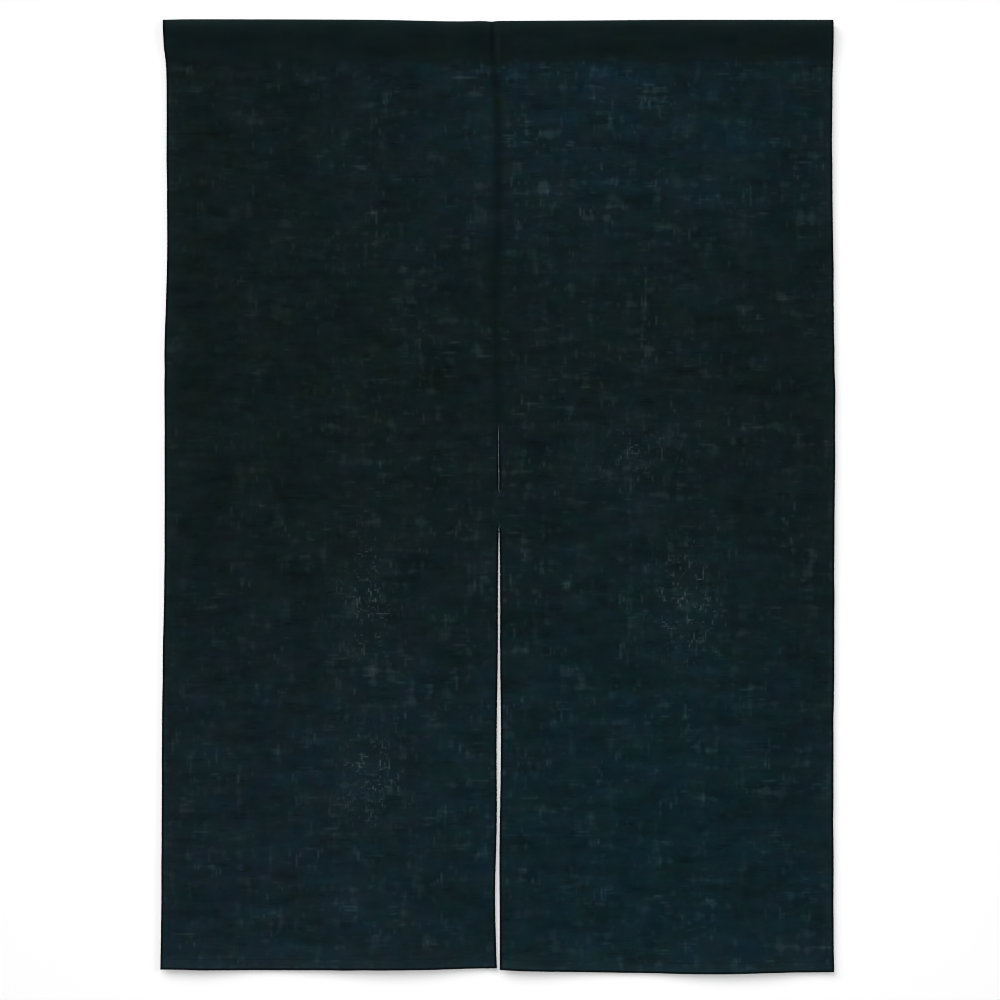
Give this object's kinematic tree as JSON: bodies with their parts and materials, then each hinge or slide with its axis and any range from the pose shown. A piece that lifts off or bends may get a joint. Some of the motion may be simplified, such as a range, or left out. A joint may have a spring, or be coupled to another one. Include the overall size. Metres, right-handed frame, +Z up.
{
  "type": "noren curtain",
  "caption": "Split doorway curtain of dark slubby linen: hemmed panels seamed together above a slit, under a folded pocket that slides onto a rod",
  "frame": {"origin": "the top fold of the rod pocket at the centre seam", "axes": "+Z up along the drop, +X to the viewer's right along the rod, -Y out of the front face"},
  "size_m": [0.8543, 0.0192, 1.2088],
  "materials": {
    "panel_linen": "matt slubby plain-weave linen, dyed blue-black, a little sheer",
    "pocket_linen": "the same linen in two layers, darker and not sheer",
    "sewing_thread": "matt polyester sewing thread, dyed to match"
  },
  "bodies": {
    "root": {"rod_pocket": "pocket_linen", "panel_left": "panel_linen", "panel_right": "panel_linen"}
  },
  "joints": []
}
